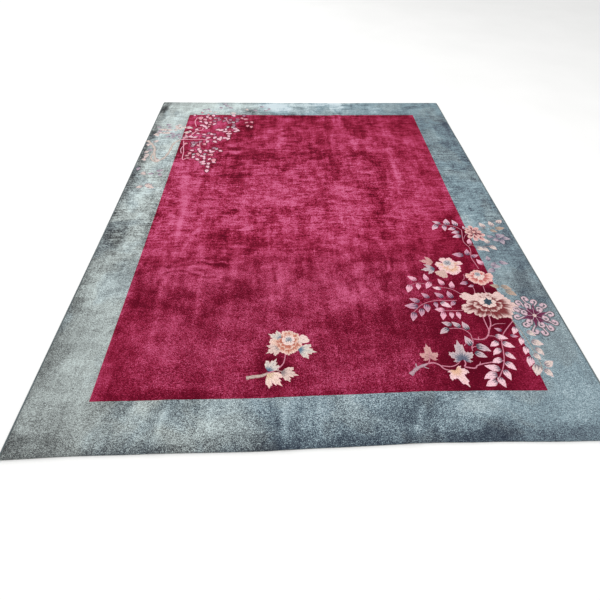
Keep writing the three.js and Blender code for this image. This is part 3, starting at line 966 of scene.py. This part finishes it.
def near_right_flowers():
    spray = Spray("near_right_flowers", 22)
    spray.petals(970, -985, DEEP_PETAL, (
        (94, 90, 20, 3, 70), (62, 96, 22, 3, 74), (124, 100, 24, 3, 62), (30, 140, 22, 4, 52),
        (154, 172, 17, 4, 34), (4, 156, 18, 3, 74), (344, 196, 17, 4, 68), (178, 136, 15, 3, 80),
        (199, 188, 18, 4, 76), (316, 172, 22, 4, 84), (229, 150, 22, 4, 86), (254, 116, 16, 2, 94),
        (287, 148, 24, 5, 88),
    ), frill=0.12, rim_from=0.9, edge=0.3)
    spray.petals(972, -984, DEEP_PETAL, (
        (28, 94, 24, 3, 72), (338, 104, 25, 3, 78), (196, 106, 24, 3, 74), (232, 96, 24, 3, 80),
        (296, 98, 28, 3, 80), (264, 88, 22, 3, 84), (146, 84, 24, 3, 50), (98, 66, 24, 3, 70),
        (62, 70, 22, 3, 70),
    ), layer=0.5, frill=0.12, rim_from=0.92, edge=0)
    spray.petals(973, -983, PALE_PETAL, (
        (112, 50, 28, 2, 10), (55, 52, 28, 2, 10), (5, 56, 28, 2, 10), (318, 58, 28, 2, 10),
        (274, 56, 26, 2, 10), (230, 58, 26, 2, 10), (183, 62, 28, 2, 10), (146, 52, 22, 2, 10),
    ), layer=1)
    spray.disc(975, -982, 36, DARK_CENTRE, layer=1.6, points=6, depth=0.25)
    spray.petals(805, -695, BEIGE_PETAL, (
        (-128, 98, 40, 5, 20),
    ))
    spray.petals(836, -662, PEACH_PETAL, (
        (118, 90, 24, 3, 50), (76, 82, 22, 3, 40), (40, 66, 22, 2, 60), (16, 100, 16, 2, 62),
        (172, 96, 24, 3, 62), (212, 90, 22, 3, 60), (334, 80, 26, 3, 70), (242, 86, 20, 2, 66),
        (278, 100, 26, 4, 66), (308, 92, 20, 2, 70),
    ), frill=0.1)
    spray.petals(836, -654, PALE_PETAL, (
        (110, 48, 60, 3, 10), (200, 46, 40, 2, 10), (290, 50, 50, 3, 20), (10, 44, 34, 2, 10),
    ), layer=0.5, frill=0.08)
    spray.dotted_disc(830, -642, 30)
    spray.petals(990, -768, SALMON_PETAL, (
        (92, 68, 34, 4, 62), (138, 64, 22, 2, 70), (46, 64, 22, 2, 70), (172, 92, 20, 3, 60),
        (6, 102, 20, 3, 60), (206, 84, 18, 2, 70), (334, 90, 18, 2, 70), (232, 80, 20, 3, 72),
        (306, 80, 20, 3, 72), (270, 88, 24, 4, 70),
    ), frill=0.1)
    spray.petals(990, -760, PALE_PETAL, (
        (205, 44, 38, 2, 10), (275, 48, 44, 3, 20), (340, 44, 36, 2, 10),
    ), layer=0.5, frill=0.08)
    spray.dotted_disc(988, -750, 23)
    spray.petals(1092, -338, RED_PETAL, (
        (96, 98, 19, 1, 62), (56, 84, 21, 1, 62), (14, 74, 22, 1, 66), (-26, 82, 21, 1, 66),
        (-62, 108, 17, 1, 62), (-96, 112, 17, 1, 62), (-132, 82, 21, 1, 66), (172, 68, 22, 1, 66),
        (134, 84, 21, 1, 62),
    ), frill=0.3, edge=0.85)
    spray.petals(1092, -334, RED_PETAL, (
        (72, 60, 30, 1, 56), (4, 52, 30, 1, 56), (-74, 66, 30, 1, 56), (-150, 50, 30, 1, 56),
        (138, 54, 30, 1, 56),
    ), layer=0.5, frill=0.3, edge=0.85)
    spray.disc(1092, -332, 13, SALMON_PETAL, layer=1.2)
    chrysanthemum(spray, 1204, -1092)
    return spray.made()


def chrysanthemum(spray, x, y):
    """A flower of dark rays, whose petals curl over at their ends in two tiers."""
    rays = 24
    for index in range(rays):
        spray.leaf(x, y, 360.0 / rays * index, 98 if index % 2 else 70, BURGUNDY, 0.22)
    spokes = 7
    for index in range(spokes):
        turn = 0.4 + 2 * math.pi * index / spokes
        path = [(x + 48 * part * math.cos(turn), y + 60 * part * math.sin(turn)) for part in (0.0, 0.5, 1.0)]
        spray.stem(path, 4, 6, HOOK, layer=0.2, per_span=2)
    for tier, count, reach_x, reach_y in ((0, 12, 96, 124), (1, 6, 58, 74)):
        for index in range(count):
            turn = 2 * math.pi * (index + 0.5 * tier + 0.15) / count
            uneven = 1.0 + 0.07 * math.sin(2.4 * index)
            hook_x = x + reach_x * uneven * math.cos(turn)
            hook_y = y + reach_y * uneven * math.sin(turn)
            curl_side = 1 if index % 3 else -1
            curl = 13
            path = [(x + reach_x * 0.66 * math.cos(turn), y + reach_y * 0.66 * math.sin(turn))]
            for step in range(5):
                angle = turn + curl_side * (math.radians(56.0 * step) - 1.7)
                path.append((hook_x + curl * math.cos(angle), hook_y + curl * math.sin(angle)))
            layer = 0.3 + 0.6 * tier
            # A wider dark ribbon under each curl: a dark outline, partly painted shadow round it
            spray.stem(path, 24, 34, HOOK_OUTLINE_SHADOW, layer=layer - 0.2, per_span=3)
            spray.stem(path, 14, 24, HOOK, layer=layer + 0.1, per_span=3)
            spray.disc(*path[-1], 13.5, HOOK_END, layer=layer + 0.2)
    spray.disc(x, y, 12, PALE_PETAL, layer=1.4)


def near_centre_spray():
    spray = Spray("near_centre_spray", 23)
    for x, y, heading, size, palette in (
        (-262, -1414, 62, 98, SKY_LEAF), (-200, -1420, -14, 100, ASH_LEAF),
        (-264, -1426, -46, 116, HONEY_LEAF), (-196, -1214, 152, 90, SKY_LEAF),
        (-112, -1284, -12, 108, SKY_LEAF), (-206, -1262, 212, 92, ASH_LEAF),
    ):
        spray.lobed_leaf(x, y, heading, size, POINTED_LOBES, palette, notch=0.14)
    spray.stems(TWIG, (
        (28, 19, -366, -1448, -330, -1442, -295, -1438, -262, -1425),
    ), knobs=0.1)
    spray.stems(STEM, (
        (11, 7, -265, -1425, -222, -1404, -188, -1368, -176, -1310),
    ))
    spray.stems(STEM_PALE, (
        (7, 6, -222, -1408, -200, -1415, -185, -1420),
    ), per_span=3)
    spray.petals(-132, -1250, PALE_PETAL, (
        (34, 96, 30, 3, 30),
    ), frill=0.1)
    spray.petals(-163, -1232, BLUSH_PETAL, (
        (140, 80, 24, 3, 82), (46, 84, 24, 3, 80), (92, 88, 32, 4, 78), (180, 112, 20, 3, 62),
        (6, 88, 22, 3, 80), (208, 102, 20, 3, 68), (334, 86, 22, 3, 80), (236, 88, 20, 3, 80),
        (308, 92, 22, 3, 78), (272, 96, 28, 5, 78),
    ), frill=0.14, edge=0.3)
    spray.petals(-162, -1230, BLUSH_PETAL, (
        (92, 62, 50, 3, 74), (176, 66, 32, 2, 80), (222, 60, 28, 1, 76), (270, 64, 36, 2, 80),
        (322, 60, 30, 1, 76), (14, 62, 34, 2, 78),
    ), layer=0.5, frill=0.06, rim_from=0.9, edge=0)
    spray.petals(-161, -1225, PALE_PETAL, (
        (90, 42, 50, 2, 10), (170, 42, 40, 2, 10), (240, 40, 44, 2, 10), (305, 40, 44, 2, 10),
        (20, 42, 40, 2, 10),
    ), layer=1, frill=0.06, edge=0.3)
    spray.dotted_disc(-160, -1222, 28)
    return spray.made()


def far_left_spray():
    spray = Spray("far_left_spray", 24)
    spray.stems(VINE, (
        (34, 28, -1352, 1010, -1300, 940, -1262, 860, -1248, 770, -1206, 640),
        (20, 24, -1255, 830, -1262, 750, -1262, 710, -1235, 660, -1206, 640),
        (28, 22, -1208, 640, -1155, 710, -1132, 820, -1122, 950, -1075, 1025),
    ), knobs=0.3)
    spray.stems(TENDRIL, (
        (14, 9, -1075, 1025, -940, 1030, -840, 1020),
        (12, 10, -1060, 1030, -995, 1110, -965, 1180, -915, 1210, -910, 1250),
        (9, 9, -970, 1180, -960, 1240, -930, 1250), (10, 9, -990, 1470, -1000, 1380, -975, 1280),
        (9, 9, -1045, 1000, -1030, 900, -1015, 800, -1005, 680, -975, 700),
        (8, 8, -1020, 950, -1045, 860, -1030, 780), (10, 8, -720, 1470, -710, 1400, -690, 1340),
        (8, 8, -860, 1050, -850, 1000, -830, 960), (8, 8, -900, 1000, -900, 940, -890, 880),
    ))
    spray.leaves(BLOSSOM, (
        (-1030, 1535, -62, 41), (-904, 1500, -80, 45), (-852, 1535, -74, 56), (-955, 1400, -70, 45),
        (-912, 1385, -60, 45), (-892, 1375, -92, 56), (-800, 1345, -140, 52), (-910, 1300, -62, 56),
        (-890, 1262, -54, 43), (-950, 1302, 4, 54), (-664, 1540, -76, 59), (-720, 1215, 206, 58),
        (-690, 1195, -130, 52), (-690, 1150, -60, 43), (-650, 1150, -120, 43), (-668, 1108, -90, 45),
        (-668, 1062, -90, 52), (-620, 1215, -30, 54), (-864, 1122, 180, 47), (-830, 1078, -120, 52),
        (-784, 1085, -90, 56), (-742, 1080, -60, 41), (-770, 1035, 0, 59), (-785, 1005, -70, 50),
        (-838, 1010, -95, 47), (-1060, 1262, 2, 58), (-1010, 1100, -52, 56), (-1048, 1105, -50, 41),
        (-1022, 1200, -70, 41), (-896, 872, -90, 45), (-930, 830, 180, 43), (-884, 842, -84, 47),
        (-844, 840, -60, 43), (-914, 735, -120, 45), (-846, 742, -62, 45), (-896, 700, -64, 52),
        (-824, 660, -110, 47), (-788, 700, -90, 43), (-806, 612, 195, 49), (-788, 628, -90, 45),
        (-788, 580, -90, 47), (-788, 520, -90, 52), (-806, 800, 10, 56), (-730, 826, -20, 43),
        (-872, 818, -100, 42), (-808, 842, -60, 42), (-868, 748, -60, 42), (-832, 712, -90, 42),
        (-752, 1222, 200, 50), (-644, 1226, 20, 50), (-704, 1240, -90, 42), (-632, 1186, -30, 42),
        (-720, 1052, 0, 52), (-742, 1038, -80, 42), (-812, 1110, 120, 45), (-826, 636, 190, 42),
        (-764, 640, -30, 42), (-980, 1226, -20, 45), (-955, 1152, -40, 42), (-980, 1066, 10, 52),
    ), breadth=0.7, shaded=True)
    spray.leaves(DEEP_BLOSSOM, (
        (-966, 1492, -76, 83), (-878, 1480, -78, 54), (-924, 1445, -60, 54), (-858, 1456, -110, 41),
        (-864, 1385, -70, 47), (-844, 1330, -150, 41), (-862, 1296, -96, 41), (-590, 1465, -40, 47),
        (-560, 1440, -20, 50), (-520, 1440, -150, 43), (-490, 1385, -60, 45), (-518, 1375, -120, 41),
        (-516, 1310, -80, 45), (-482, 1292, -80, 47), (-668, 1196, -90, 49), (-1030, 1155, -120, 45),
        (-996, 1160, -60, 43), (-1062, 1072, -30, 45), (-1000, 955, 180, 47), (-870, 960, -60, 49),
        (-912, 938, -90, 45), (-952, 800, -120, 49), (-900, 790, -80, 43), (-960, 744, 190, 40),
        (-814, 752, 10, 40), (-886, 770, -90, 41), (-766, 690, -62, 68), (-780, 776, -90, 47),
        (-980, 700, 0, 36), (-905, 1545, -60, 45), (-955, 1560, 100, 36),
    ), breadth=0.7, shaded=True)
    spray.leaves(DUSK_BLOSSOM, (
        (-826, 1410, -80, 49), (-800, 1470, -70, 49), (-776, 1440, -100, 52), (-730, 1475, -80, 52),
        (-730, 1415, -100, 49), (-704, 1395, -60, 41), (-636, 1430, 10, 47), (-680, 1440, -90, 50),
        (-616, 1410, -90, 50), (-674, 1370, -110, 45), (-640, 1330, -90, 49), (-628, 1262, -70, 43),
        (-560, 1530, -90, 52), (-970, 990, -70, 50), (-958, 930, -80, 49), (-900, 1005, -90, 45),
        (-930, 985, -100, 45), (-850, 1165, -80, 45), (-890, 1092, -60, 40), (-776, 890, -80, 45),
        (-800, 1140, -80, 45),
    ), breadth=0.7, shaded=True)
    spray.leaves(SLATE, (
        (-650, 1385, -90, 47), (-690, 1290, -90, 49), (-644, 1290, -90, 49), (-950, 955, -90, 49),
        (-926, 782, -90, 41), (-836, 782, -90, 41), (-754, 876, -80, 45), (-822, 1470, -90, 40),
    ), breadth=0.74, shaded=True)
    spray.leaves(CREAM, (
        (-1298, 1150, 10, 50), (-1262, 1160, -20, 50), (-1256, 1235, -50, 54), (-1136, 1240, 10, 59),
        (-1160, 1228, -60, 45), (-1090, 1290, -70, 54), (-1150, 1300, 20, 50), (-1316, 780, -60, 50),
        (-1240, 1170, -30, 72), (-1290, 1190, 50, 66), (-1230, 1200, 20, 64), (-1310, 1140, -50, 66),
        (-1100, 1230, 150, 70), (-1120, 1270, -80, 62), (-1060, 1270, -30, 66), (-1010, 1170, 190, 62),
        (-1270, 1140, 200, 64), (-1140, 1250, 100, 60), (-1300, 980, 30, 60), (-1210, 700, -80, 56),
        (-1340, 800, 20, 50), (-1310, 750, -80, 50), (-1200, 260, 10, 60), (-1230, 280, 200, 56),
        (-1216, 320, -60, 70), (-1176, 310, -110, 54), (-700, 1560, 10, 59), (-656, 1580, -70, 47),
        (-900, 1620, -50, 47), (-850, 1560, 60, 45), (-560, 1660, -30, 50), (-1336, 960, -70, 54),
        (-1330, 700, -40, 54), (-1290, 475, -30, 54), (-1250, 480, 190, 45),
    ), breadth=0.7)
    spray.leaves(LILAC, (
        (-1130, 1100, 40, 50), (-1170, 1090, 200, 52), (-1100, 1090, -60, 50), (-1250, 1310, 10, 54),
        (-1220, 1280, -60, 50), (-1280, 1270, 190, 50), (-1170, 500, 20, 54), (-1190, 470, 210, 50),
        (-760, 1730, 10, 54), (-800, 1710, -70, 52), (-720, 1700, -30, 52), (-780, 1760, 40, 50),
        (-1186, 1140, 0, 54), (-1160, 1120, -60, 54), (-1120, 1130, -20, 49), (-1148, 1088, -90, 45),
        (-1170, 520, -60, 50), (-1156, 460, -40, 54), (-960, 1650, -30, 54), (-910, 1675, -80, 50),
        (-470, 1650, -60, 54), (-420, 1720, -20, 54), (-330, 1680, -80, 50), (-380, 1620, 10, 50),
        (-1310, 860, -50, 50), (-1330, 560, -70, 54), (-1270, 1200, -120, 50),
    ), breadth=0.7)
    return spray.made()


# The rug's pieces

field = field_pile(crimson)
border = border_pile(teal)
back = woven_back(back_crimson, back_teal)
left_cord = side_cord("overcast_cord_left", -1, overcast)
right_cord = side_cord("overcast_cord_right", 1, overcast)
sprays = [near_right_leaves(), near_right_flowers(), near_centre_spray(), far_left_spray()]
for piece in (field, border, back, *sprays):
    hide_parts("rug")
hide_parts("side_cord_left")
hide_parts("side_cord_right")


# The floor, the light and the camera

FLOOR_HALF = 20.0
FLOOR_TOP = -0.5 * MM
floor_mesh = bpy.data.meshes.new("floor")
corners = [(x * FLOOR_HALF, y * FLOOR_HALF, FLOOR_TOP) for x, y in ((-1, -1), (1, -1), (1, 1), (-1, 1))]
floor_mesh.from_pydata(corners, [], [(0, 1, 2, 3)])
floor_mesh.materials.append(floor_material())
floor = bpy.data.objects.new("floor", floor_mesh)
bpy.context.scene.collection.objects.link(floor)


def soft_light(name, place, target, size, watts):
    """A square studio light that faces a target."""
    light = bpy.data.lights.new(name, "AREA")
    light.shape = "SQUARE"
    light.size = size
    light.energy = watts
    made = bpy.data.objects.new(name, light)
    made.location = place
    aim = Vector(target) - Vector(place)
    made.rotation_euler = aim.to_track_quat("-Z", "Y").to_euler()
    bpy.context.scene.collection.objects.link(made)


soft_light("far_left_light", (-3.5, 5.5, 4.0), (-0.2, 0.3, 0.0), 4.0, 130.0)
soft_light("overhead_light", (0.5, -1.0, 5.0), (0.0, 0.0, 0.0), 5.0, 100.0)

world = bpy.data.worlds.new("studio")
world.use_nodes = True
world.node_tree.nodes["Background"].inputs["Color"].default_value = (1.0, 1.0, 1.0, 1.0)
world.node_tree.nodes["Background"].inputs["Strength"].default_value = 0.78
bpy.context.scene.world = world
bpy.context.scene.view_settings.view_transform = "Standard"

# The camera stands near the left half of the near edge, and looks down at the rug.
CAMERA_PLACE = (-0.1319, -2.6567, 1.7938)
CAMERA_YAW = 0.0725
CAMERA_PITCH = 0.8016
CAMERA_ROLL = 0.0309
FOCAL_PIXELS = 438.13
CENTRE_X_PIXELS = 315.35
IMAGE_PIXELS = 600

camera_data = bpy.data.cameras.new("camera")
camera_data.sensor_width = 36.0
camera_data.lens = camera_data.sensor_width * FOCAL_PIXELS / IMAGE_PIXELS
camera_data.shift_x = (IMAGE_PIXELS / 2 - CENTRE_X_PIXELS) / IMAGE_PIXELS
camera = bpy.data.objects.new("camera", camera_data)
level_reach = math.cos(CAMERA_PITCH)
ahead_x = math.sin(CAMERA_YAW) * level_reach
ahead_y = math.cos(CAMERA_YAW) * level_reach
ahead = Vector((ahead_x, ahead_y, -math.sin(CAMERA_PITCH)))
level_right = Vector((math.cos(CAMERA_YAW), -math.sin(CAMERA_YAW), 0.0))
level_up = level_right.cross(ahead)
right = math.cos(CAMERA_ROLL) * level_right + math.sin(CAMERA_ROLL) * level_up
up = math.cos(CAMERA_ROLL) * level_up - math.sin(CAMERA_ROLL) * level_right
facing = Matrix((right, up, -ahead)).transposed().to_4x4()
camera.matrix_world = Matrix.Translation(CAMERA_PLACE) @ facing
bpy.context.scene.collection.objects.link(camera)
bpy.context.scene.camera = camera
